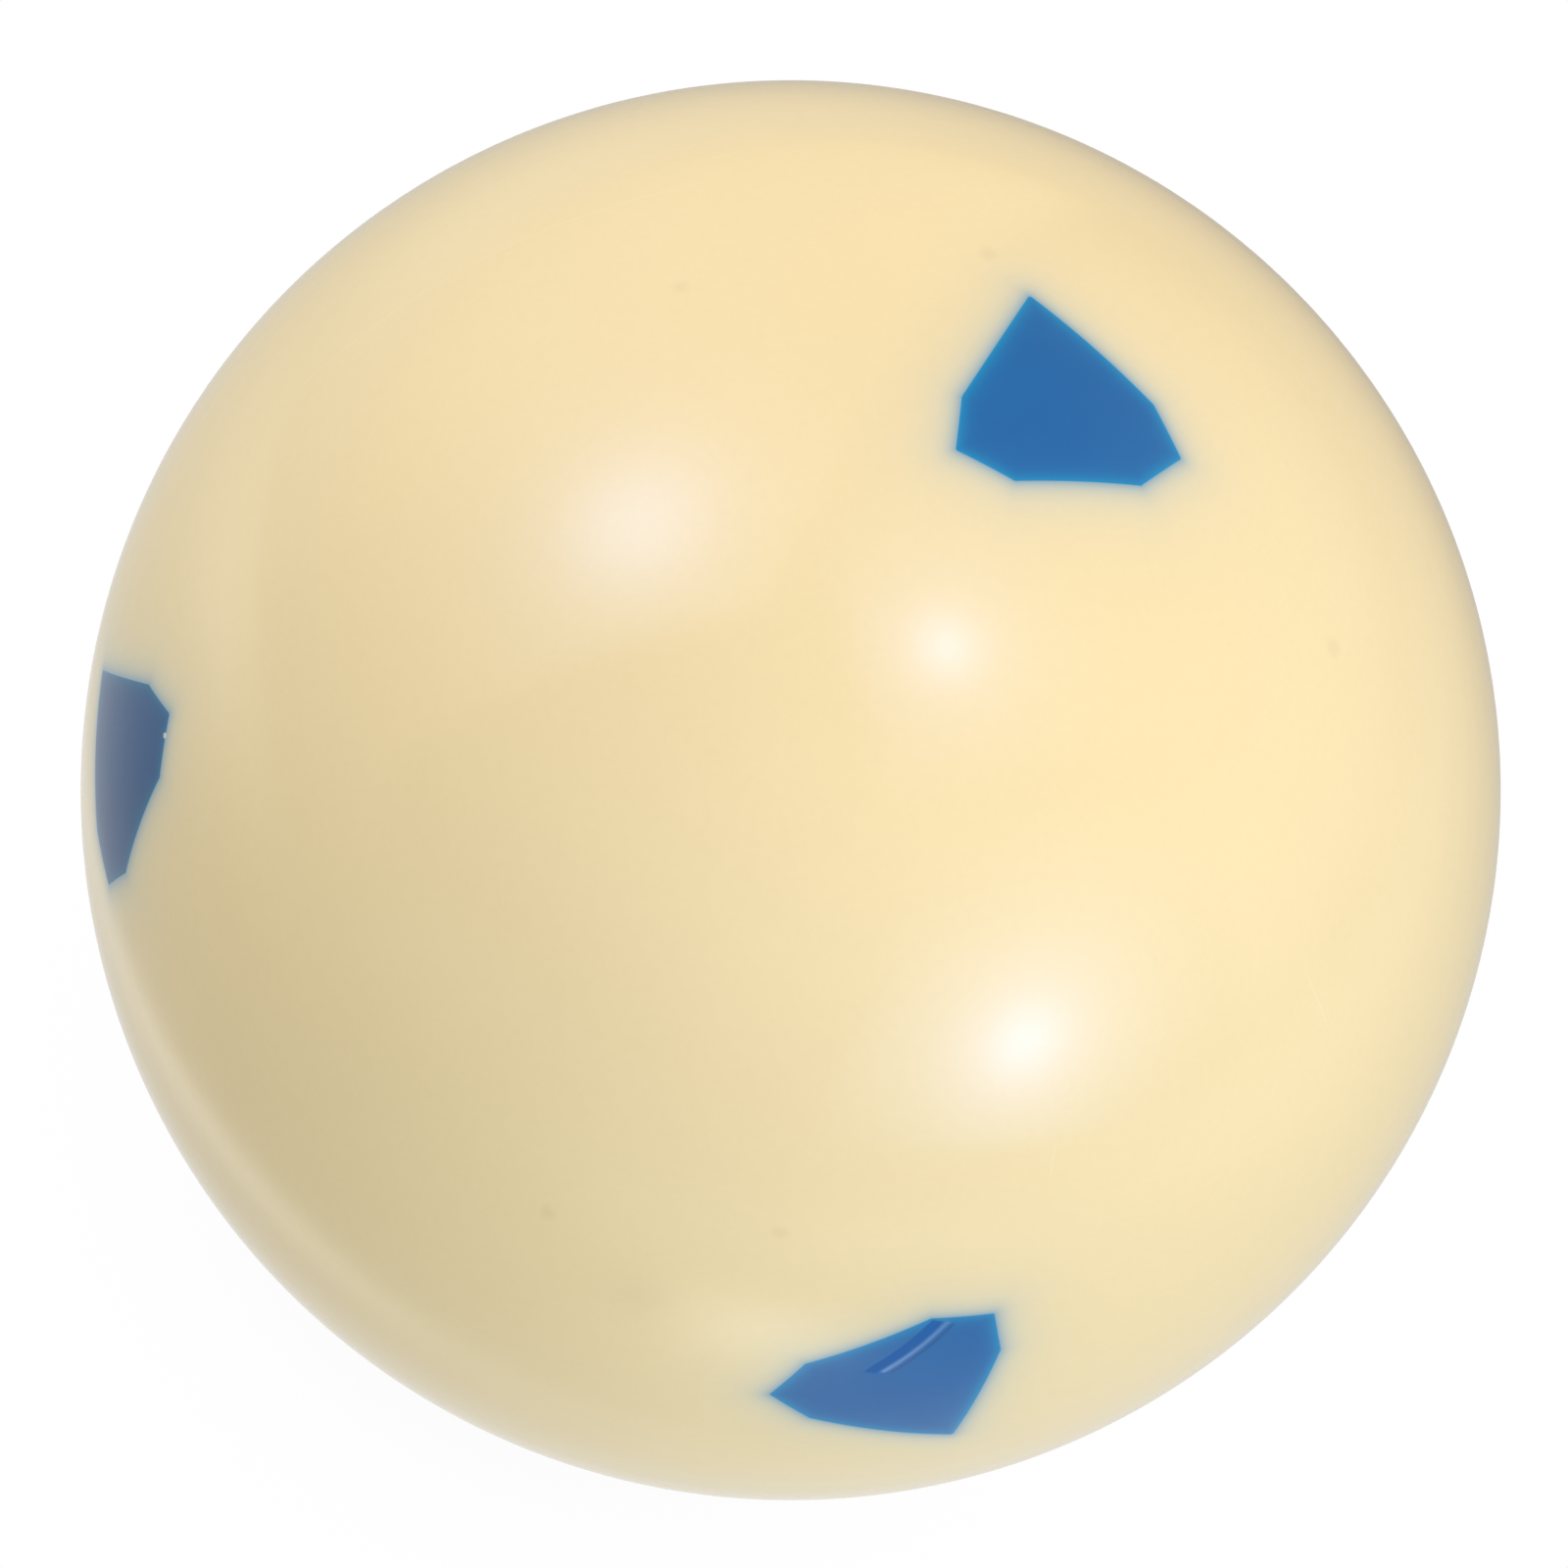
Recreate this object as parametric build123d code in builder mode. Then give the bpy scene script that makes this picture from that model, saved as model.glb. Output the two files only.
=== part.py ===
from build123d import *
import os

# A pool cue ball: one solid ball of cast resin with six blue spots cast into its surface, so that players can
# see how it spins. The spots sit on the ball's three axes, and the whole ball is ground and polished as one
# sphere, so each spot's outer face is part of that sphere.
#
# Millimetres and degrees. The origin is the ball's centre, +Z goes out through the top spot and -Y out through
# the front spot.

# ---- Driving dimensions ----

ball_diameter = 57.15  # the 2 1/4 inch pool ball

spot_depth = 3.0  # from the crown of a spot to its flat inner end
spot_corner_radius = 0.12  # on the seven corners of the outline

# One side of the spot's seven-sided outline, measured from the axis that the spot sits on, with its point up.
point_height = 4.0
shoulder_half_width = 4.05
shoulder_height = -0.95
widest_half_width = 4.75
widest_height = -3.25
base_half_width = 2.65
base_height = -4.65

# Each spot's name, the axis it sits on, and the direction across it that lies to the right when it is seen from
# outside. Then its turn, anticlockwise seen from outside, from the place where its point is up (up is +Z on the
# four spots around the ball, +Y on the top spot and -Y on the bottom spot). Last, how far it leans off its axis,
# to the right and up: cast spots are set by eye, and three of them stand about 0.4 mm off.
spot_layout = [
    ("spot_top", (0, 0, 1), (1, 0, 0), 3.5, 0.7, -0.3),
    ("spot_bottom", (0, 0, -1), (1, 0, 0), 158, 0, 0),
    ("spot_front", (0, -1, 0), (1, 0, 0), 223, 0.7, 0.3),
    ("spot_back", (0, 1, 0), (-1, 0, 0), 34, 0, 0),
    ("spot_left", (-1, 0, 0), (0, -1, 0), 101, -0.7, -0.7),
    ("spot_right", (1, 0, 0), (0, 1, 0), 287, 0, 0),
]

# ---- Derived dimensions ----

ball_radius = ball_diameter / 2
inner_end_height = ball_radius - spot_depth

# The sphere that rounds off the spots is placed on this plane, which keeps its poles and seam line out of them.
between_spots = Plane(origin=(0, 0, 0), x_dir=(1, -1, 0), z_dir=(1, 1, 1))

os.makedirs("parts", exist_ok=True)

# ---- Spots: seven-sided plugs that run straight into the ball and end flat ----

spots = []
for label, outward, rightward, turn, lean_right, lean_up in spot_layout:
    facing_out = Plane(origin=(0, 0, 0), x_dir=rightward, z_dir=outward)
    spot_plane = Plane(facing_out * Rotation(-lean_up, lean_right, turn))

    with BuildPart(between_spots) as spot:
        with BuildSketch(spot_plane.offset(inner_end_height)) as outline:
            with BuildLine():
                Polyline(
                    (0, point_height),
                    (shoulder_half_width, shoulder_height),
                    (widest_half_width, widest_height),
                    (base_half_width, base_height),
                )
                mirror(about=Plane.YZ)
                Line((-base_half_width, base_height), (base_half_width, base_height))
            make_face()
            fillet(outline.vertices(), radius=spot_corner_radius)
        extrude(amount=2 * spot_depth)
        Sphere(ball_radius, mode=Mode.INTERSECT)

    spot.part.label = label
    export_step(spot.part, f"parts/{label}.step")
    spots.append(spot)

# ---- Ball body: the sphere, cast around the six spots, so its poles fall in the top and bottom pockets ----

with BuildPart() as ball_body:
    Sphere(ball_radius)
    for spot in spots:
        add(spot.part, mode=Mode.SUBTRACT)

ball_body.part.label = "ball_body"
export_step(ball_body.part, "parts/ball_body.step")
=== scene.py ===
import math

import bpy
import numpy as np
from mathutils import Matrix, Vector
from mathutils.geometry import delaunay_2d_cdt


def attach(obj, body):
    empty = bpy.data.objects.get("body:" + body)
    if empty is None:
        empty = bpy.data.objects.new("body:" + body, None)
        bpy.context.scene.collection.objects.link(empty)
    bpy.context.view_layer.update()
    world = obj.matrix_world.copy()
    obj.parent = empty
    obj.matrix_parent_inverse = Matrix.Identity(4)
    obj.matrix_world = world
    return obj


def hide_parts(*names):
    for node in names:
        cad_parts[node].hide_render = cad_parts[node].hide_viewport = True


# A pool cue ball standing on a pale floor in a light tent. The frame is the CAD frame: the ball's centre is
# the origin, +Z goes out through the top spot and -Y out through the front spot. Lengths are metres unless a
# name ends in mm. Directions are (azimuth, elevation) in degrees, azimuth from -Y towards +X.

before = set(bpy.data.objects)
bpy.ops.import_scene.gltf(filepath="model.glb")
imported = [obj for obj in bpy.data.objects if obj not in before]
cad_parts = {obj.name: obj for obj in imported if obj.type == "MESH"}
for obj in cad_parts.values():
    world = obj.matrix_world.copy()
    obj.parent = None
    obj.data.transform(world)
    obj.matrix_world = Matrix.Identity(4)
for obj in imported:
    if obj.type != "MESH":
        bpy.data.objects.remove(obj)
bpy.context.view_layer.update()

MM = 0.001
SPOTS = ["spot_top", "spot_bottom", "spot_front", "spot_back", "spot_left", "spot_right"]

RADIUS = max(v.co.length for node in ["ball_body"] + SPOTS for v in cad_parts[node].data.vertices)
FLOOR_Z = -RADIUS


def direction(azimuth, elevation):
    a, e = math.radians(azimuth), math.radians(elevation)
    return np.array([math.sin(a) * math.cos(e), -math.cos(a) * math.cos(e), math.sin(e)])


def unit(rows):
    return rows / np.linalg.norm(rows, axis=-1, keepdims=True)


def smooth(t):
    """0 below 0 and 1 above 1, with a smooth step between."""
    t = np.clip(t, 0, 1)
    return t * t * (3 - 2 * t)


def bell(value, middle, width):
    """1 at the middle, falling off smoothly on both sides."""
    return np.exp(-(((value - middle) / width) ** 2))


# ---- Shape of the spots, from the CAD ----

EDGE_STEPS = 64  # steps along one side of each of the six square patches that make up the ball
RING_STEPS = 40  # steps from a spot's outline out to the edge of its patch
RING_CROWDING = 1.8  # above 1, the rings stand closer together near the spot
BOW_MM = 0.004  # lifts the points between two corners off a straight line, for the triangulation alone

KEY_STEPS = 1e7  # CAD vertices that round to the same step, at this many to the metre, are one
FACES_INWARD = -0.99  # the cosine under which a face belongs to a spot's flat inner end


def inner_end(node):
    """A spot's facing direction, and the outline of its flat inner end, anticlockwise seen from outside."""
    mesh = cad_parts[node].data
    co = np.array([v.co for v in mesh.vertices], float)
    outward = unit(co.mean(axis=0))
    faces = [p for p in mesh.polygons if np.dot(p.normal, outward) < FACES_INWARD]
    facing = -unit(sum(np.array(p.normal) * p.area for p in faces))
    key = [tuple(int(round(c * KEY_STEPS)) for c in row) for row in co]
    place = dict(zip(key, co))
    edges = set()
    for p in faces:
        ring = [key[i] for i in p.vertices]
        edges.update(zip(ring, ring[1:] + ring[:1]))
    border = {a: b for a, b in edges if (b, a) not in edges}
    loop = [min(border)]
    while border[loop[-1]] != loop[0]:
        loop.append(border[loop[-1]])
    return facing, np.array([place[k] for k in reversed(loop)])


def subdivided(corners, count, bow=0.0):
    """The same closed outline with exactly count points: the longest pieces are split first. Points between
    corners can be bowed outward."""
    n = len(corners)
    length = np.linalg.norm(np.roll(corners, -1, axis=0) - corners, axis=1)
    pieces = np.ones(n, int)
    while pieces.sum() < count:
        pieces[np.argmax(length / pieces)] += 1
    rows = []
    for i in range(n):
        a, b = corners[i], corners[(i + 1) % n]
        out = np.array([b[1] - a[1], a[0] - b[0]]) / length[i]
        for k in range(pieces[i]):
            t = k / pieces[i]
            rows.append(a + (b - a) * t + out * bow * t * (1 - t))
    return np.array(rows)


class Spot:
    """A spot's outline: flat points (across, up) on the plane that it faces, and their places on the ball."""

    def __init__(self, node):
        self.node = node
        self.facing, inner = inner_end(node)
        helper = np.eye(3)[np.argmin(np.abs(self.facing))]
        self.across = unit(np.cross(helper, self.facing))
        self.up = np.cross(self.facing, self.across)
        self.inner_height = float(inner[0] @ self.facing)
        corners = np.stack([inner @ self.across, inner @ self.up], axis=1)
        self.flat = subdivided(corners, 4 * EDGE_STEPS)
        self.bowed = subdivided(corners, 4 * EDGE_STEPS, bow=BOW_MM * MM)

    def at_height(self, flat, height):
        """Flat points, each set at its height above the ball's centre."""
        heights = np.broadcast_to(height, len(flat))
        return flat[:, :1] * self.across + flat[:, 1:2] * self.up + heights[:, None] * self.facing

    def on_ball(self, flat):
        return self.at_height(flat, np.sqrt(RADIUS**2 - (flat**2).sum(axis=1)))

    def flat_of(self, points):
        return np.stack([points @ self.across, points @ self.up], axis=1)

    def inside_distance(self, flat):
        """Distance from the outline: above 0 inside, below 0 outside."""
        a = self.flat
        b = np.roll(a, -1, axis=0)
        d = b - a
        rel = flat[:, None, :] - a[None]
        t = np.clip((rel * d).sum(axis=2) / (d**2).sum(axis=1), 0, 1)
        nearest = np.sqrt(((rel - t[..., None] * d) ** 2).sum(axis=2).min(axis=1))
        above = (a[:, 1] > flat[:, None, 1]) != (b[:, 1] > flat[:, None, 1])
        with np.errstate(divide="ignore", invalid="ignore"):
            share = (flat[:, None, 1] - a[:, 1]) / (b[:, 1] - a[:, 1])
            cross_x = a[:, 0] + share * (b[:, 0] - a[:, 0])
        inside = (above & (flat[:, None, 0] < cross_x)).sum(axis=1) % 2 == 1
        return np.where(inside, nearest, -nearest)


spots = {node: Spot(node) for node in SPOTS}

# ---- The nick across the front spot: a shallow gouge, gentle on one side and steep on the other ----

NICK_FROM = np.array([-1.43, 1.84]) * MM  # the ends of its steep edge: x and z on the front of the ball
NICK_TO = np.array([0.175, 5.375]) * MM
NICK_BOW_MM = 0.12  # how far the middle of the steep edge bows out
NICK_WIDTH_MM = 0.95
NICK_DEPTH_MM = 0.050
NICK_STEEP_MM = 0.38  # how wide the steep side is
NICK_STEEP_OUT_MM = 0.02  # how far outside the steep edge it starts
NICK_GENTLE_MM = 0.60  # how wide the gentle side is
NICK_LIP_MM = 0.005  # how high the material stands up along the steep edge
NICK_LIP_OUT_MM = 0.07  # how far outside the steep edge that lip stands
NICK_LIP_WIDTH_MM = 0.05
NICK_UPPER_END_MM = 3.72  # how far along the steep edge the nick's upper end meets it
NICK_END_SLANTS = (0.55, 0.28)  # how much the lower and the upper end slant, in mm per mm across
NICK_END_FADES_MM = (0.16, 0.14)  # over what length they fade out

FINE_MARGINS_MM = (0.25, 0.08)  # how far the fine mesh reaches past the steep and the gentle side

# Its marks, by their places and widths across the nick: painted shade on the gouge's floor, a whitened bruise up
# the steep side with a painted highlight on it, and a painted shadow along the steep edge.
GOUGE_FROM_MM = 0.34
GOUGE_FADES_MM = (0.10, 0.08)
BRUISE_HIGHLIGHT_AT_MM, BRUISE_HIGHLIGHT_WIDTH_MM = 0.23, 0.085
BRUISE_HIGHLIGHT_LOSS = 0.5  # how much weaker it is at the nick's upper end
EDGE_SHADOW_AT_MM, EDGE_SHADOW_WIDTH_MM = -0.01, 0.06

DEPTH_STEP_MM = 0.01  # the step that the slope of the nick is taken over
UNTOUCHED = 1e-9  # a depth under this leaves the sphere as it is


def nick_place(points):
    """How far points lie in from the nick's steep edge in mm, how far along it from 0 to 1, and a share that
    falls to 0 at its ends."""
    span = NICK_TO - NICK_FROM
    length = np.linalg.norm(span)
    along = span / length
    inward = np.array([-along[1], along[0]])
    rel = points[:, [0, 2]] - NICK_FROM
    run = rel @ along
    share = np.clip(run / length, 0, 1)
    across = rel @ inward / MM + NICK_BOW_MM * 4 * share * (1 - share)
    run = run / MM
    past_lower = run + NICK_END_SLANTS[0] * across
    before_upper = NICK_UPPER_END_MM - NICK_END_SLANTS[1] * across - run
    ends = smooth(past_lower / NICK_END_FADES_MM[0]) * smooth(before_upper / NICK_END_FADES_MM[1])
    return across, share, np.where(points[:, 1] < 0, ends, 0)


def nick_depth(points):
    """How far below the sphere the surface lies at these points."""
    across, _, ends = nick_place(points)
    steep = smooth((across + NICK_STEEP_OUT_MM) / NICK_STEEP_MM)
    gentle = smooth((NICK_WIDTH_MM - across) / NICK_GENTLE_MM)
    lip = bell(across, -NICK_LIP_OUT_MM, NICK_LIP_WIDTH_MM)
    return (steep * gentle * NICK_DEPTH_MM - lip * NICK_LIP_MM) * ends * MM


def in_nick(points):
    """Which points need the fine mesh."""
    across, _, ends = nick_place(points)
    return (ends > 0) & (across > -FINE_MARGINS_MM[0]) & (across < NICK_WIDTH_MM + FINE_MARGINS_MM[1])


def surface(points):
    """Points of the sphere lowered into the nick, and the surface normals there."""
    normal = unit(points)
    depth = nick_depth(points)
    placed = points - normal * depth[:, None]
    touched = np.abs(depth) > UNTOUCHED
    step = DEPTH_STEP_MM * MM
    out = normal.copy()
    if touched.any():
        p, n = points[touched], normal[touched]
        e1 = unit(np.cross(n, [0, 0, 1.0]))
        e2 = np.cross(n, e1)
        g1 = (nick_depth(p + e1 * step) - nick_depth(p - e1 * step)) / (2 * step)
        g2 = (nick_depth(p + e2 * step) - nick_depth(p - e2 * step)) / (2 * step)
        out[touched] = unit(n + g1[:, None] * e1 + g2[:, None] * e2)
    return placed, out


# ---- Mesh building ----

MERGE_STEPS = 1e8  # points that round to the same step, at this many to the metre, are joined


def add_attribute(mesh, name, values):
    mesh.attributes.new(name, "FLOAT", "POINT").data.foreach_set("value", values.astype(np.float32))


class Shell:
    """A mesh under construction. Its points have their own normals, so that the ball shades as a sphere."""

    def __init__(self):
        self.points, self.normals, self.edge_mm, self.faces, self.flat_normals = [], [], [], [], {}

    def add(self, points, normals, edge_mm):
        """Adds points with their distance from a spot's edge, and returns their numbers."""
        start = sum(len(p) for p in self.points)
        self.points.append(points)
        self.normals.append(normals)
        self.edge_mm.append(edge_mm)
        return np.arange(start, start + len(points))

    def face(self, ring, normal=None):
        """Adds a face. It shades with its points' normals, or flat with the one that is given."""
        if normal is not None:
            self.flat_normals[len(self.faces)] = normal
        self.faces.append([int(i) for i in ring])

    def object(self, name):
        points = np.vstack(self.points)
        normals = np.vstack(self.normals)
        edge_mm = np.concatenate(self.edge_mm)
        first = {}
        remap = np.zeros(len(points), int)
        for i, p in enumerate(np.round(points * MERGE_STEPS).astype(np.int64)):
            remap[i] = first.setdefault(tuple(p), len(first))
        keep = np.zeros(len(first), int)
        keep[remap[::-1]] = np.arange(len(points))[::-1]
        faces = [[int(remap[i]) for i in f] for f in self.faces]
        mesh = bpy.data.meshes.new(name)
        mesh.from_pydata(points[keep].tolist(), [], faces)
        corner_normals = []
        for index, ring in enumerate(self.faces):
            flat = self.flat_normals.get(index)
            corner_normals += [tuple(normals[i] if flat is None else flat) for i in ring]
        mesh.polygons.foreach_set("use_smooth", [True] * len(faces))
        add_attribute(mesh, "edge_mm", edge_mm[keep])
        mesh.update()
        mesh.normals_split_custom_set(corner_normals)
        if mesh.validate(verbose=True):
            raise ValueError(f"{name} has faulty faces")
        made = bpy.data.objects.new(name, mesh)
        bpy.context.scene.collection.objects.link(made)
        return made


def wall_and_end(shell, spot, rim, outside):
    """A plug's straight side and flat inner end, which face out of the plug, or else into the pocket."""
    ring = spot.at_height(spot.flat, spot.inner_height)
    inner = shell.add(ring, unit(ring), np.zeros(len(ring)))
    n = len(rim)
    for i in range(n):
        j = (i + 1) % n
        d = spot.flat[j] - spot.flat[i]
        out = unit(d[1] * spot.across - d[0] * spot.up)
        quad = [inner[i], inner[j], rim[j], rim[i]]
        shell.face(quad if outside else quad[::-1], out if outside else -out)
    shell.face(inner[::-1] if outside else inner, -spot.facing if outside else spot.facing)


# ---- The ball: six patches, each a set of rings from a spot's outline out to the border of its patch ----


def square_border(axis):
    """Points around the patch that faces along axis, anticlockwise seen from outside."""
    helper = np.roll(axis, 1)
    other = np.cross(axis, helper)
    t = np.tan(np.linspace(-math.pi / 4, math.pi / 4, EDGE_STEPS + 1)[:-1])
    one = np.ones(EDGE_STEPS)
    a = np.concatenate([one, -t, -one, t])
    b = np.concatenate([t, one, -t, -one])
    return unit(axis + a[:, None] * helper + b[:, None] * other) * RADIUS


def border_in_step(rim, border):
    """The border, started at the point that makes it run alongside the rim."""
    match = [float((unit(rim) * unit(np.roll(border, -k, axis=0))).sum()) for k in range(len(border))]
    return np.roll(border, -int(np.argmax(match)), axis=0)


def make_ball():
    shell = Shell()
    for spot in spots.values():
        rim = spot.on_ball(spot.flat)
        border = border_in_step(rim, square_border(np.round(spot.facing)))
        rings = []
        for j in range(RING_STEPS + 1):
            t = (j / RING_STEPS) ** RING_CROWDING
            if j == 0:
                points, away = rim, np.zeros(len(rim))
            else:
                points = border if j == RING_STEPS else unit(rim * (1 - t) + border * t) * RADIUS
                away = -spot.inside_distance(spot.flat_of(points))
            placed, normal = surface(points)
            rings.append(shell.add(placed, normal, away / MM))
        n = len(border)
        for low_ring, high_ring in zip(rings, rings[1:]):
            for i in range(n):
                k = (i + 1) % n
                shell.face([low_ring[i], high_ring[i], high_ring[k], low_ring[k]])
        wall_and_end(shell, spot, rings[0], outside=False)
    return shell.object("ball_body_cast")


# ---- The spots: a triangular grid inside the outline, fine where the nick is ----

GRID_MM = 0.2
FINE_GRID_MM = 0.04
FINE_STEPS = 150  # steps from the front spot's middle to the edges of the fine grid, which is cut to the nick
ROW_STEP = 0.866  # the rows of a triangular grid, as a share of its spacing
RIM_CLEAR_MM = 0.08  # no grid point lies nearer to the outline than this
FINE_RIM_CLEAR_MM = 0.03
INSIDE_ONLY = 1  # the triangulation keeps only what lies inside the outline
CUT_EPSILON = 1e-7


def triangle_grid(spacing, steps):
    """Flat points on a triangular grid, on the same steps along and across its rows."""
    return np.array([((i + 0.5 * (j % 2)) * spacing, j * spacing * ROW_STEP) for j in steps for i in steps])


def spot_grid(spot):
    """The flat points inside a spot's outline."""
    spacing = GRID_MM * MM
    count = int((np.abs(spot.flat).max() + spacing) / spacing) + 1
    grid = triangle_grid(spacing, range(-count, count + 1))
    clear_mm = RIM_CLEAR_MM
    if spot.node == "spot_front":
        fine = triangle_grid(FINE_GRID_MM * MM, range(-FINE_STEPS, FINE_STEPS))
        fine = fine[in_nick(spot.on_ball(fine))]
        grid = np.vstack([grid[~in_nick(spot.on_ball(grid))], fine])
        clear_mm = FINE_RIM_CLEAR_MM
    return grid[spot.inside_distance(grid) > clear_mm * MM]


def add_nick_marks(made):
    """Gives each vertex its share of the nick's marks and painted light, for the resin to read."""
    points = np.array([v.co for v in made.data.vertices])
    across, share, ends = nick_place(points)
    begins = smooth((across - GOUGE_FROM_MM) / GOUGE_FADES_MM[0])
    stops = smooth((NICK_WIDTH_MM - across) / GOUGE_FADES_MM[1])
    marks = {
        "gouge": begins * stops,
        "bruise_highlight": bell(across, BRUISE_HIGHLIGHT_AT_MM, BRUISE_HIGHLIGHT_WIDTH_MM) * (1 - BRUISE_HIGHLIGHT_LOSS * share),
        "edge_shadow": bell(across, EDGE_SHADOW_AT_MM, EDGE_SHADOW_WIDTH_MM),
    }
    for name, amount in marks.items():
        add_attribute(made.data, name, amount * ends)


def make_spot(spot):
    grid = spot_grid(spot)
    verts = np.vstack([spot.flat, grid])
    rim_count = len(spot.flat)
    bowed = np.vstack([spot.bowed, grid]) / MM
    outline = list(range(rim_count))
    cut = delaunay_2d_cdt([Vector(p) for p in bowed], [], [outline], INSIDE_ONLY, CUT_EPSILON, False)
    if len(cut[0]) != len(verts):
        raise ValueError(f"{spot.node}: the triangulation changed its points")
    placed, normal = surface(spot.on_ball(verts))
    inside = np.maximum(spot.inside_distance(verts), 0)
    inside[:rim_count] = 0
    shell = Shell()
    ids = shell.add(placed, normal, inside / MM)
    for tri in cut[2]:
        a, b, c = (verts[i] for i in tri)
        area = (b[0] - a[0]) * (c[1] - a[1]) - (b[1] - a[1]) * (c[0] - a[0])
        shell.face([ids[i] for i in (tri if area > 0 else tri[::-1])])
    wall_and_end(shell, spot, ids[:rim_count], outside=True)
    made = shell.object(spot.node + "_resin")
    add_nick_marks(made)
    return made


# ---- Materials ----


class Nodes:
    """A node tree built by short calls. Each returns the new node's first output, or the one asked for."""

    def __init__(self, owner):
        owner.use_nodes = True
        self.tree = owner.node_tree
        self.tree.nodes.clear()

    def put(self, kind, settings=None, inputs=None, output=0):
        node = self.tree.nodes.new(kind)
        for name, value in (settings or {}).items():
            setattr(node, name, value)
        for name, value in (inputs or {}).items():
            if isinstance(value, bpy.types.NodeSocket):
                self.tree.links.new(value, node.inputs[name])
            else:
                node.inputs[name].default_value = value
        return node.outputs[output]

    def math(self, operation, a, b=0.0, c=0.0):
        return self.put("ShaderNodeMath", {"operation": operation}, {0: a, 1: b, 2: c})

    def times(self, a, b):
        return self.math("MULTIPLY", a, b)

    def fade(self, value):
        """1 where the value is 0, falling off smoothly as it grows: exp of minus its square."""
        return self.math("EXPONENT", self.times(self.times(value, value), -1.0))

    def vector(self, operation, a, b):
        return self.put("ShaderNodeVectorMath", {"operation": operation}, {0: a, 1: b})

    def scale(self, vector, factor):
        return self.put("ShaderNodeVectorMath", {"operation": "SCALE"}, {0: vector, "Scale": factor})

    def dot(self, a, b):
        return self.put("ShaderNodeVectorMath", {"operation": "DOT_PRODUCT"}, {0: a, 1: tuple(b)}, output=1)

    def distance(self, a, b):
        return self.put("ShaderNodeVectorMath", {"operation": "DISTANCE"}, {0: a, 1: tuple(b)}, output=1)

    def length(self, a):
        return self.put("ShaderNodeVectorMath", {"operation": "LENGTH"}, {0: a}, output=1)

    def mix(self, factor, a, b, blend="MIX"):
        return self.put(
            "ShaderNodeMix", {"data_type": "RGBA", "blend_type": blend}, {0: factor, 6: a, 7: b}, output=2
        )

    def noise(self, vector, scale, detail=2.0, roughness=0.5, distortion=0.0):
        values = {"Scale": scale, "Detail": detail, "Roughness": roughness, "Distortion": distortion}
        return self.put("ShaderNodeTexNoise", {}, {"Vector": vector, **values})

    def span(self, value, low, high, to_low, to_high, kind="SMOOTHSTEP"):
        values = {0: value, 1: low, 2: high, 3: to_low, 4: to_high}
        return self.put("ShaderNodeMapRange", {"interpolation_type": kind}, values)

    def attribute(self, name):
        return self.put("ShaderNodeAttribute", {"attribute_name": name}, output=2)

    def surface(self, shader, kind="ShaderNodeOutputMaterial"):
        """Makes this shader the tree's result."""
        self.tree.links.new(shader, self.tree.nodes.new(kind).inputs["Surface"])


def colour(r, g, b):
    return (r, g, b, 1.0)


# The resins. Colours are linear.
CREAM = colour(0.868, 0.716, 0.369)
CREAM_CLOUD = colour(0.858, 0.708, 0.365)  # faint clouds in the cream, some 10 mm across
GRAIN, GRAIN_COVER = colour(0.6, 0.45, 0.22), 0.04
BLUE = colour(0.012, 0.124, 0.328)
BLUE_CLOUD = colour(0.012, 0.132, 0.338)
# A painted glow: the blue is lighter near a spot's edge, for light that scatters in from the cream.
BLUE_EDGE_GLOW = colour(0.010, 0.262, 0.470)
BLUE_EDGE_GLOW_MM = 0.25  # how far in from a spot's edge its painted glow fades
LEFT_SPOT_SHADE = 0.38  # painted shade: the left spot's blue is made darker than that of the others, for the shade on that side of the ball
LEFT_SPOT_SHADE_FROM = (0.80, 0.90)  # shares of the radius, to the left, between which that sets in
BLUE_GLOSS = 0.38  # the blue mirrors less than the cream, whose gloss is 0.5
GOUGED_GLOSS = 0.18
GOUGED_ROUGHER = 0.25
RESIN_IOR = 1.52
ROUGHNESS = (0.105, 0.135)
PEEL_STRENGTH, PEEL_HEIGHT = 0.05, 0.02 * MM  # the finely uneven surface that polishing leaves

# Noise patterns: how many to the metre, detail, roughness and distortion.
CREAM_CLOUDS = (90, 3, 0.55, 0.6)
BLUE_CLOUDS = (260, 3, 0.55, 0.4)
GRAINS = (2600, 2, 0.6)
WOBBLE = (1500, 2)
SCUFFS = (420, 4, 0.6, 1.0)
PEEL = (1300, 2, 0.5)
CLOUD_SPAN = (0.3, 0.7)  # the part of a pattern's values over which it goes from none to full
SPECK_SPAN = (0.35, 0.75)

# Painted shade round the spots: near a spot's edge the cream is darkened and turned bluish, for light that the
# blue resin under the surface takes from it. The change at a spot's edge, and the distance over which it fades.
SUBSURFACE_SHADE = [((-0.47, -0.36, -0.05), 0.32), ((-0.27, -0.105, 0.24), 1.2)]

# The marks on them, painted shade and a painted highlight among them, and how strongly each covers the resin.
# Painted shade on the gouge's floor.
GOUGE_SHADE, GOUGE_SHADE_COVER = colour(0.002, 0.092, 0.315), 0.75
# Painted shadow along the nick's steep edge.
EDGE_SHADOW, EDGE_SHADOW_COVER = colour(0.012, 0.060, 0.170), 0.55
# A whitened bruise with a painted highlight on the nick's steep side.
BRUISE_HIGHLIGHT, BRUISE_HIGHLIGHT_COVER = colour(0.28, 0.45, 0.76), 0.48
FLECK, FLECK_COVER = colour(0.45, 0.30, 0.12), 0.10
SOOT, SMUDGE_COVER = colour(0.02, 0.02, 0.02), 0.05
SCRATCH, SCRATCH_COVER = colour(0.93, 0.86, 0.66), 0.16
CHIP_WHITE = colour(0.88, 0.88, 0.86)
MARK_CORE = 0.7  # the share of a fleck's or the chip's radius that it covers fully

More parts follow.
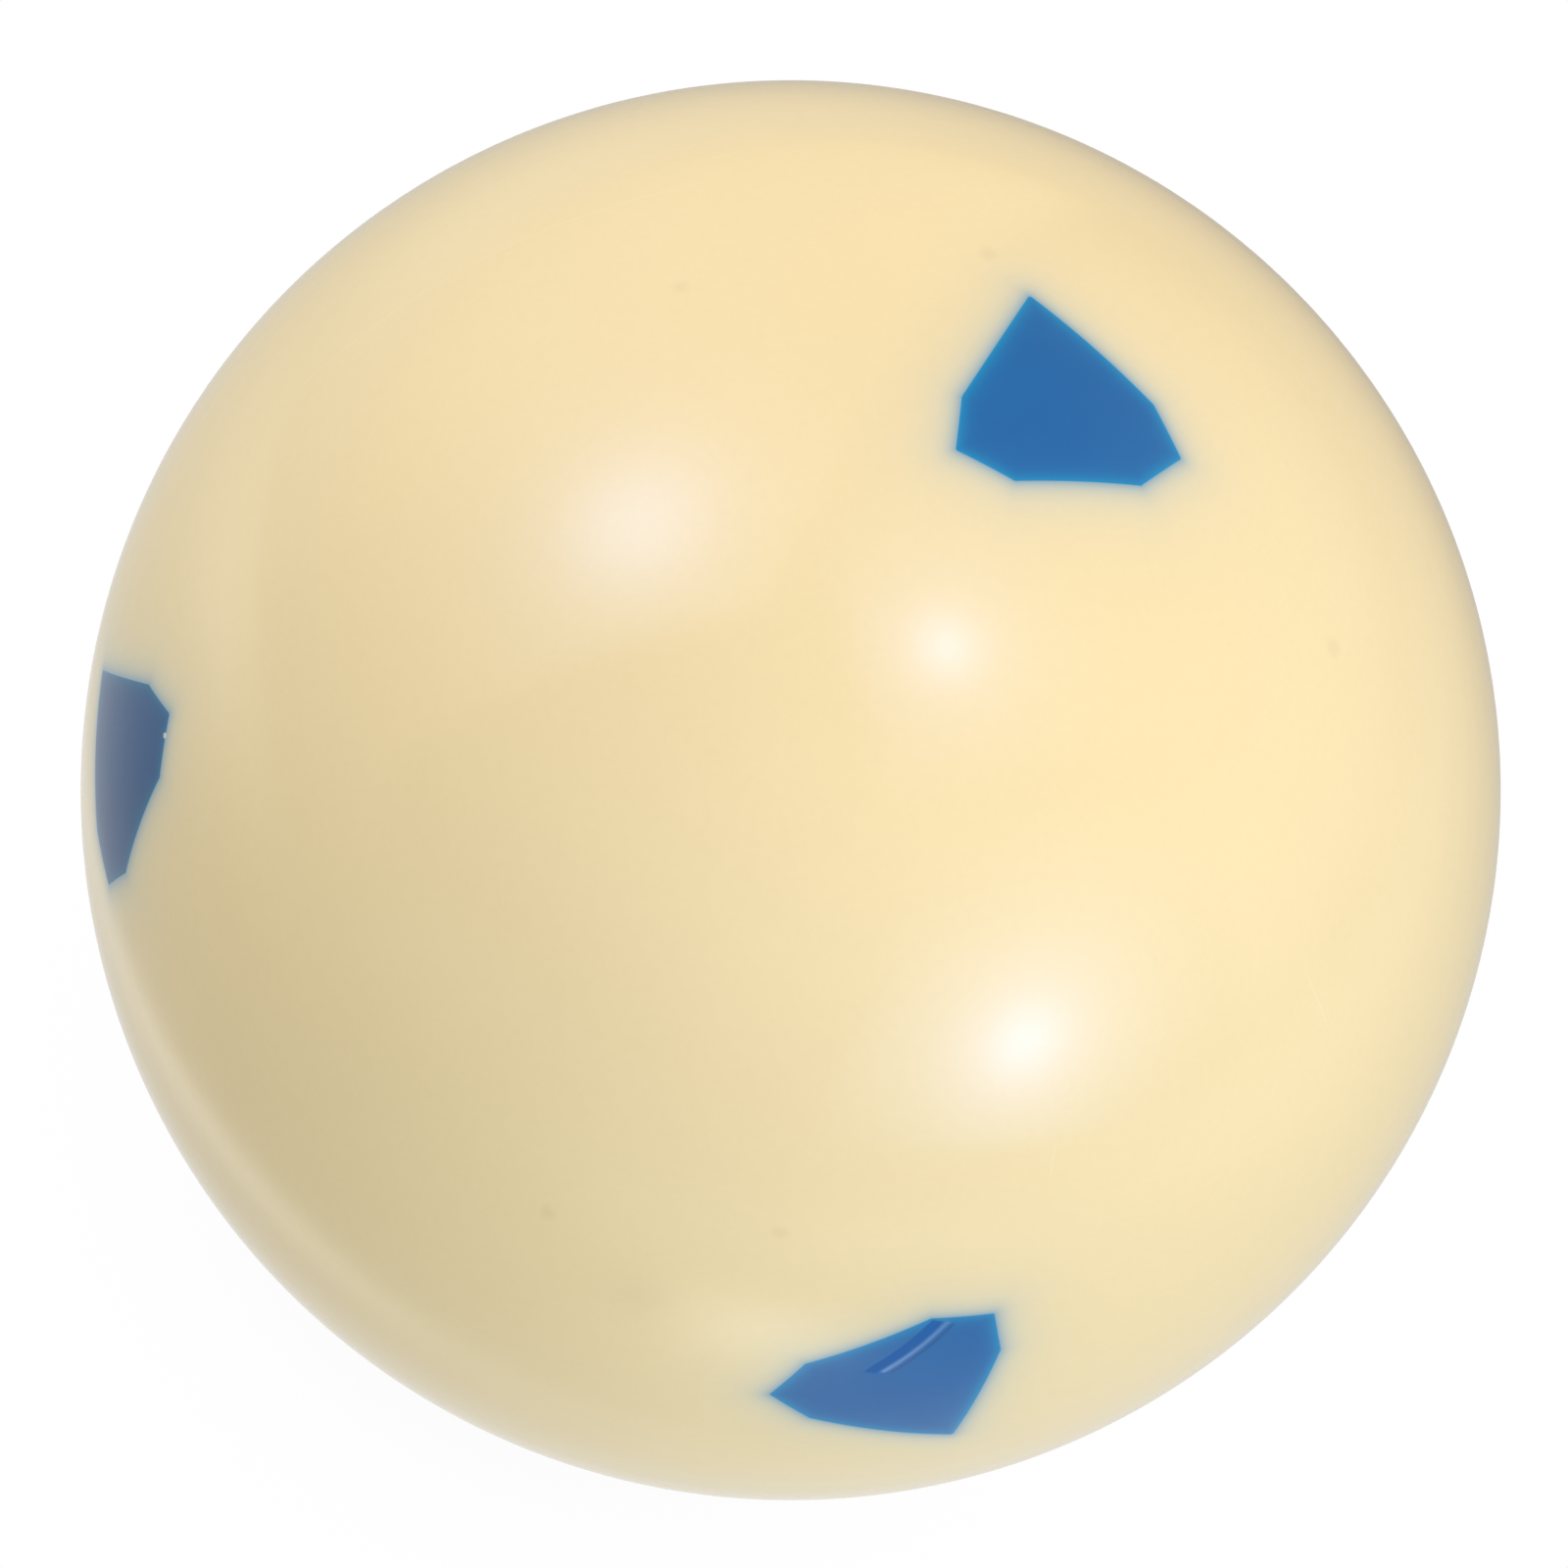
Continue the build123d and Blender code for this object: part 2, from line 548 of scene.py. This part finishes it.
# A soft smudge on the cream: direction, and radius in mm.
SMUDGE = ((-24.0, 5.2), 1.25)

# A tiny white chip at the left spot's edge: direction, and radius in mm.
CHIP = ((-84.9, 8.6), 0.105)
CHIP_FADE = 1.5  # the share of that radius where it has faded out

# Hairline scratches: from and to, and width in mm.
HAIRLINE_FADE_MM = (0.6, 0.1)  # how far before and past its ends a scratch fades
HAIRLINES = [
    ((-108.4, 27.0), (-118.7, 42.0), 0.035),
    ((-118.7, 42.0), (-135.4, 56.2), 0.035),
    ((-142.6, 55.0), (-147.9, 56.6), 0.040),
    ((30.6, 38.7), (33.4, 32.0), 0.035),
    ((3.7, 28.8), (4.0, 24.9), 0.040),
]

# Faint flecks in the cream, with soft and uneven outlines: direction, and radius in mm.
FLECK_WOBBLE_MM = 0.25
FLECK_SOFT_MM = 0.35
FLECKS = [
    ((-170.1, 77.6), 0.34),
    ((-112.8, 61.0), 0.30),
    ((53.6, 58.6), 0.36),
    ((-33.4, 8.9), 0.30),
    ((-16.6, 16.4), 0.30),
]


def mm_from(n, place, aim):
    """How far a point is from the place on the ball in one direction, in mm."""
    return n.times(n.distance(place, direction(*aim) * RADIUS), 1 / MM)


def strongest(n, parts):
    """The highest of several shares."""
    total = parts[0]
    for part in parts[1:]:
        total = n.math("MAXIMUM", total, part)
    return total


def hairline(n, place, start, end, width_mm):
    """1 along a scratch on a great circle, fading to 0 beside it and past its ends."""
    a, b = direction(*start), direction(*end)
    pole, middle = unit(np.cross(a, b)), unit(a + b)
    reach_mm = float(np.linalg.norm(a - b)) / 2 * RADIUS / MM
    beside = n.fade(n.times(n.dot(place, pole), 1 / (width_mm * MM)))
    run_mm = n.dot(place, np.cross(pole, middle) / MM)
    full_mm, none_mm = reach_mm - HAIRLINE_FADE_MM[0], reach_mm + HAIRLINE_FADE_MM[1]
    along = n.span(n.math("ABSOLUTE", run_mm), full_mm, none_mm, 1, 0)
    near_side = n.math("GREATER_THAN", n.dot(place, middle), 0.0)
    return n.times(n.times(beside, along), near_side)


def fleck(n, place, wobble, aim, radius):
    """How dark a fleck is at a point."""
    away = n.math("ADD", mm_from(n, place, aim), n.times(wobble, FLECK_WOBBLE_MM))
    return n.span(away, radius * MARK_CORE, radius + FLECK_SOFT_MM, FLECK_COVER, 0)


def with_chip(n, place, base):
    """The base colour with the white chip on it, which lies partly on the cream and partly on the blue."""
    aim, radius = CHIP
    share = n.span(mm_from(n, place, aim), radius * MARK_CORE, radius * CHIP_FADE, 1, 0)
    return n.mix(share, base, CHIP_WHITE)


def polish(n, place):
    """The polish that both resins share: roughness with faint scuffs, and a finely uneven surface."""
    rough = n.span(n.noise(place, *SCUFFS), *SPECK_SPAN, *ROUGHNESS, "LINEAR")
    values = {"Strength": PEEL_STRENGTH, "Distance": PEEL_HEIGHT, "Height": n.noise(place, *PEEL)}
    bump = n.put("ShaderNodeBump", {}, values)
    return rough, bump


def finished(made, n, base, rough, bump, **more):
    values = {"Base Color": base, "Roughness": rough, "IOR": RESIN_IOR, "Normal": bump, **more}
    n.surface(n.put("ShaderNodeBsdfPrincipled", {}, values))
    return made


def cream_resin():
    made = bpy.data.materials.new("cream_resin")
    n = Nodes(made)
    place = n.put("ShaderNodeTexCoord", output=3)
    base = n.mix(n.span(n.noise(place, *CREAM_CLOUDS), *CLOUD_SPAN, 0, 1), CREAM, CREAM_CLOUD)
    grain = n.span(n.noise(place, *GRAINS), *SPECK_SPAN, 0, GRAIN_COVER, "LINEAR")
    base = n.mix(grain, base, GRAIN)
    wobble = n.noise(place, *WOBBLE)
    base = n.mix(strongest(n, [fleck(n, place, wobble, *row) for row in FLECKS]), base, FLECK)
    aim, radius = SMUDGE
    smudge = n.fade(n.times(n.distance(place, direction(*aim) * RADIUS), 1 / (radius * MM)))
    base = n.mix(n.times(smudge, SMUDGE_COVER), base, SOOT)
    scratches = strongest(n, [hairline(n, place, *row) for row in HAIRLINES])
    base = n.mix(n.times(scratches, SCRATCH_COVER), base, SCRATCH)
    # Painted shade near the spots: the cream darkens and turns bluish towards a spot's edge.
    edge = n.attribute("edge_mm")
    halo_shade = (1.0, 1.0, 1.0)
    for change, fade_mm in SUBSURFACE_SHADE:
        amount = n.math("EXPONENT", n.times(edge, -1 / fade_mm))
        halo_shade = n.vector("ADD", halo_shade, n.scale(change, amount))
    base = n.mix(1.0, base, halo_shade, "MULTIPLY")
    base = with_chip(n, place, base)
    return finished(made, n, base, *polish(n, place))


def blue_resin():
    made = bpy.data.materials.new("blue_resin")
    n = Nodes(made)
    place = n.put("ShaderNodeTexCoord", output=3)
    base = n.mix(n.span(n.noise(place, *BLUE_CLOUDS), *CLOUD_SPAN, 0, 1), BLUE, BLUE_CLOUD)
    # Painted glow near the spot's edge, for light that scatters in from the cream.
    rim = n.math("EXPONENT", n.times(n.attribute("edge_mm"), -1 / BLUE_EDGE_GLOW_MM))
    base = n.mix(rim, base, BLUE_EDGE_GLOW)
    gouge, bruise_highlight, edge_shadow = [n.attribute(name) for name in ("gouge", "bruise_highlight", "edge_shadow")]
    # Painted shade on the gouge's floor.
    base = n.mix(n.times(gouge, GOUGE_SHADE_COVER), base, GOUGE_SHADE)
    # Painted shadow along the nick's steep edge.
    base = n.mix(n.times(edge_shadow, EDGE_SHADOW_COVER), base, EDGE_SHADOW)
    # A whitened bruise with a painted highlight up the steep side.
    base = n.mix(n.times(bruise_highlight, BRUISE_HIGHLIGHT_COVER), base, BRUISE_HIGHLIGHT)
    base = with_chip(n, place, base)
    # Painted shade: the blue darkens on the left spot, for the shade on that side of the ball.
    leftward = n.dot(place, (-1 / RADIUS, 0, 0))
    base = n.mix(n.span(leftward, *LEFT_SPOT_SHADE_FROM, 0, LEFT_SPOT_SHADE), base, colour(0, 0, 0))
    rough, bump = polish(n, place)
    rough = n.math("MULTIPLY_ADD", n.math("MAXIMUM", gouge, bruise_highlight), GOUGED_ROUGHER, rough)
    gloss = n.math("MULTIPLY_ADD", gouge, GOUGED_GLOSS - BLUE_GLOSS, BLUE_GLOSS)
    return finished(made, n, base, rough, bump, **{"Specular IOR Level": gloss})


def place_piece(piece, node, material):
    piece.data.materials.append(material)
    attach(piece, "root")
    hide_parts(node)


cream = cream_resin()
blue = blue_resin()
place_piece(make_ball(), "ball_body", cream)
for node, spot in spots.items():
    place_piece(make_spot(spot), node, blue)

# ---- Floor and light ----

# The ball is lit by a tent with soft bright areas and by a floor with lighter and darker places. Both glow by
# themselves. The camera sees neither glow: it sees a white backdrop, and a nearly white floor with a faint
# shade where the ball stands.


def glow(n, look, azimuth, elevation, sharpness):
    """A round soft bright area of the tent."""
    toward = n.dot(look, direction(azimuth, elevation))
    return n.math("EXPONENT", n.times(n.math("SUBTRACT", toward, 1.0), sharpness))


def sheet(n, look, poles):
    """The inside of a soft-edged bright sheet. Each pole is square to one of its edges, on the inside."""
    share = None
    for pole in poles:
        side = n.span(n.dot(look, direction(*pole)), -SHEET_SOFT, SHEET_SOFT, 0, 1)
        share = side if share is None else n.times(share, side)
    return share


def sheet_glow(n, look, azimuth, elevation, sharpness, poles):
    """The part of a glow inside a sheet."""
    return n.times(glow(n, look, azimuth, elevation, sharpness), sheet(n, look, poles))


def pool(n, place, x, y, size):
    """A round lighter place on the floor."""
    return n.fade(n.math("DIVIDE", n.distance(place, (x, y, 0)), size))


def arc(n, place, radius, width, azimuth, sharpness):
    """A light curved streak on the floor, round the point that the ball stands on."""
    band = n.fade(n.math("DIVIDE", n.math("SUBTRACT", n.length(place), radius), width))
    return n.times(band, glow(n, n.vector("NORMALIZE", place, (0, 0, 0)), azimuth, 0, sharpness))


def beyond(n, place, size, azimuth, sharpness):
    """The far floor in one direction."""
    far = n.math("SUBTRACT", 1.0, n.fade(n.math("DIVIDE", n.length(place), size)))
    return n.times(far, glow(n, n.vector("NORMALIZE", place, (0, 0, 0)), azimuth, 0, sharpness))


def all_over(n, place):
    return n.math("MULTIPLY_ADD", n.length(place), 0.0, 1.0)


def grey(level):
    return (level, level, level)


def lamp(level):
    """The glow of a lamp. It is cool, so that on the cream its highlight turns white instead of yellow."""
    return tuple(level * share for share in LAMP_TINT)


LAMP_TINT = (0.28, 0.48, 1.00)

# Three lamps: A behind on the left, B overhead and C in front on the right. Then the sheets in front of them,
# by the poles of their edges.
LAMP_A, LAMP_B, LAMP_C = (-111.8, 46.9), (12.0, 78.0), (21.7, 16.4)
SHEET_A = [(-178.1, 2.9), (-121.3, -18.5)]
SHEET_B = [(99.3, 14.1), (-158.7, 32.8)]
SHEET_C = [(11.2, -39.8), (83.2, -4.5), (-17.0, 0.0)]
SHEET_SOFT = 0.05

# Each row is a shape, its sizes, and how strong it is in red, green and blue.
WARM_TOP = (0.65, 0.45, 0.20)
TENT = [
    # The roof and the upper part of the walls, warmer than the rest.
    (glow, (0, 85, 8), (0.50, 0.40, 0.25)),
    *[(glow, (azimuth, 50, 9), WARM_TOP) for azimuth in (-26, 26, 77)],
    (glow, (-129, 50, 9), (0.60, 0.50, 0.45)),
    # The walls: light in front and on the right, dim on the left, with one bright place behind on the left.
    *[(glow, (azimuth, 18, 9), grey(0.60)) for azimuth in (0, 36, 72, 108)],
    (glow, (-36, 18, 9), grey(0.35)),
    *[(glow, (azimuth, 18, 9), grey(0.12)) for azimuth in (-72, -108)],
    (glow, (-144, 18, 9), grey(0.80)),
    *[(glow, (azimuth, 18, 9), grey(0.30)) for azimuth in (144, 180)],
    # The sheets.
    (sheet, (SHEET_A,), (0.50, 0.40, 0.25)),
    (sheet, (SHEET_B,), grey(0.10)),
    (sheet, (SHEET_C,), (0.10, 0.10, 0.00)),
    # The lamps behind them: a wide part that the sheet's edges cut off, and narrower and brighter parts.
    (sheet_glow, (*LAMP_A, 18, SHEET_A), lamp(2.5)),
    (glow, (*LAMP_A, 70), lamp(3.7)),
    (sheet_glow, (*LAMP_B, 30, SHEET_B), lamp(2.5)),
    (glow, (*LAMP_B, 170), lamp(2.8)),
    (glow, (*LAMP_B, 400), lamp(3.6)),
    (sheet_glow, (*LAMP_C, 20, SHEET_C), lamp(4.4)),
    (glow, (*LAMP_C, 110), lamp(3.6)),
    (glow, (*LAMP_C, 300), lamp(3.2)),
]
# Lengths on the floor are in ball radii.
FLOOR = [
    (all_over, (), grey(0.25)),
    # Round the ball, in front of it, and to the left of it.
    (pool, (0, 0, 2.0), grey(0.6)),
    (pool, (-0.15, -2.25, 0.45), grey(1.3)),
    (pool, (-1.5, -3.5, 1.5), grey(0.3)),
    (pool, (0.8, -5, 1.8), grey(0.4)),
    (pool, (-3.6, 1.8, 1.5), grey(0.8)),
    (arc, (1.10, 0.11, -70, 4), grey(0.5)),
    # Far away.
    (beyond, (4.5, -150, 2.5), grey(0.6)),
    (beyond, (4.5, 30, 2.5), grey(0.6)),
    (beyond, (4.5, 90, 2.5), grey(0.3)),
]

FLOOR_RADIUS = 3.0
FLOOR_RINGS, FLOOR_SIDES = 24, 96
SHADE = colour(0.55, 0.54, 0.53)
SHADE_TIGHTNESS = 5.0
SHADE_DEPTH = 0.35


def total_light(n, place, rows):
    total = None
    for shape, sizes, strength in rows:
        part = n.scale(strength, shape(n, place, *sizes))
        total = part if total is None else n.vector("ADD", total, part)
    return total


def seen_by(n, kind, by_ball, by_camera):
    """A glow with one colour for the camera and another for everything that it lights."""
    light = n.put(kind, {}, {"Color": by_ball, "Strength": 1.0})
    picture = n.put(kind, {}, {"Color": by_camera, "Strength": 1.0})
    camera_ray = n.put("ShaderNodeLightPath", output=0)
    return n.put("ShaderNodeMixShader", {}, {0: camera_ray, 1: light, 2: picture})


def make_floor():
    """A disc of rings that lie closer together near the ball."""
    points = [(0, 0, FLOOR_Z)]
    for ring in range(1, FLOOR_RINGS + 1):
        reach = FLOOR_RADIUS * (ring / FLOOR_RINGS) ** 2
        for side in range(FLOOR_SIDES):
            a = 2 * math.pi * side / FLOOR_SIDES
            points.append((reach * math.cos(a), reach * math.sin(a), FLOOR_Z))
    faces = []
    for s in range(FLOOR_SIDES):
        k = (s + 1) % FLOOR_SIDES
        faces.append((0, 1 + s, 1 + k))
        for ring in range(1, FLOOR_RINGS):
            a = 1 + (ring - 1) * FLOOR_SIDES
            faces.append((a + s, a + FLOOR_SIDES + s, a + FLOOR_SIDES + k, a + k))
    mesh = bpy.data.meshes.new("floor")
    mesh.from_pydata(points, [], faces)
    made = bpy.data.objects.new("floor", mesh)
    bpy.context.scene.collection.objects.link(made)
    return made


def floor_material():
    made = bpy.data.materials.new("pale_floor")
    n = Nodes(made)
    place = n.vector("MULTIPLY", n.put("ShaderNodeTexCoord", output=3), (1 / RADIUS, 1 / RADIUS, 0))
    # The share of the tent that the ball hides from a point of the floor.
    away = n.length(place)
    hidden = n.math("POWER", n.math("MULTIPLY_ADD", away, away, 1.0), -1.5)
    shade = n.times(n.math("POWER", hidden, SHADE_TIGHTNESS), SHADE_DEPTH)
    picture = n.mix(shade, colour(1, 1, 1), SHADE)
    n.surface(seen_by(n, "ShaderNodeEmission", total_light(n, place, FLOOR), picture))
    return made


def make_tent():
    world = bpy.data.worlds.new("light_tent")
    bpy.context.scene.world = world
    n = Nodes(world)
    look = n.put("ShaderNodeTexCoord", output=0)
    tent = seen_by(n, "ShaderNodeBackground", total_light(n, look, TENT), colour(1, 1, 1))
    n.surface(tent, "ShaderNodeOutputWorld")


make_floor().data.materials.append(floor_material())
make_tent()

# ---- Camera ----

CAMERA_AIM = (-34.33, 49.28)  # where the camera stands, seen from the ball
CAMERA_ROLL = 31.38  # anticlockwise, in degrees
CAMERA_DISTANCE = 13 * RADIUS
CAMERA_SHIFT_MM = (-0.27, 0.25)  # to its right and up
CAMERA_LENS_MM = 211.3
CAMERA_SENSOR_MM = 36

back = direction(*CAMERA_AIM)
level_right = unit(np.cross([0, 0, 1.0], back))
level_up = np.cross(back, level_right)
c, s = math.cos(math.radians(CAMERA_ROLL)), math.sin(math.radians(CAMERA_ROLL))
right, up = c * level_right + s * level_up, c * level_up - s * level_right
stand = back * CAMERA_DISTANCE + (right * CAMERA_SHIFT_MM[0] + up * CAMERA_SHIFT_MM[1]) * MM

camera = bpy.data.objects.new("camera", bpy.data.cameras.new("camera"))
bpy.context.scene.collection.objects.link(camera)
camera.data.lens = CAMERA_LENS_MM
camera.data.sensor_width = CAMERA_SENSOR_MM
camera.matrix_world = Matrix([[right[i], up[i], back[i], stand[i]] for i in range(3)] + [[0, 0, 0, 1]])
bpy.context.scene.camera = camera
bpy.context.scene.view_settings.view_transform = "Standard"
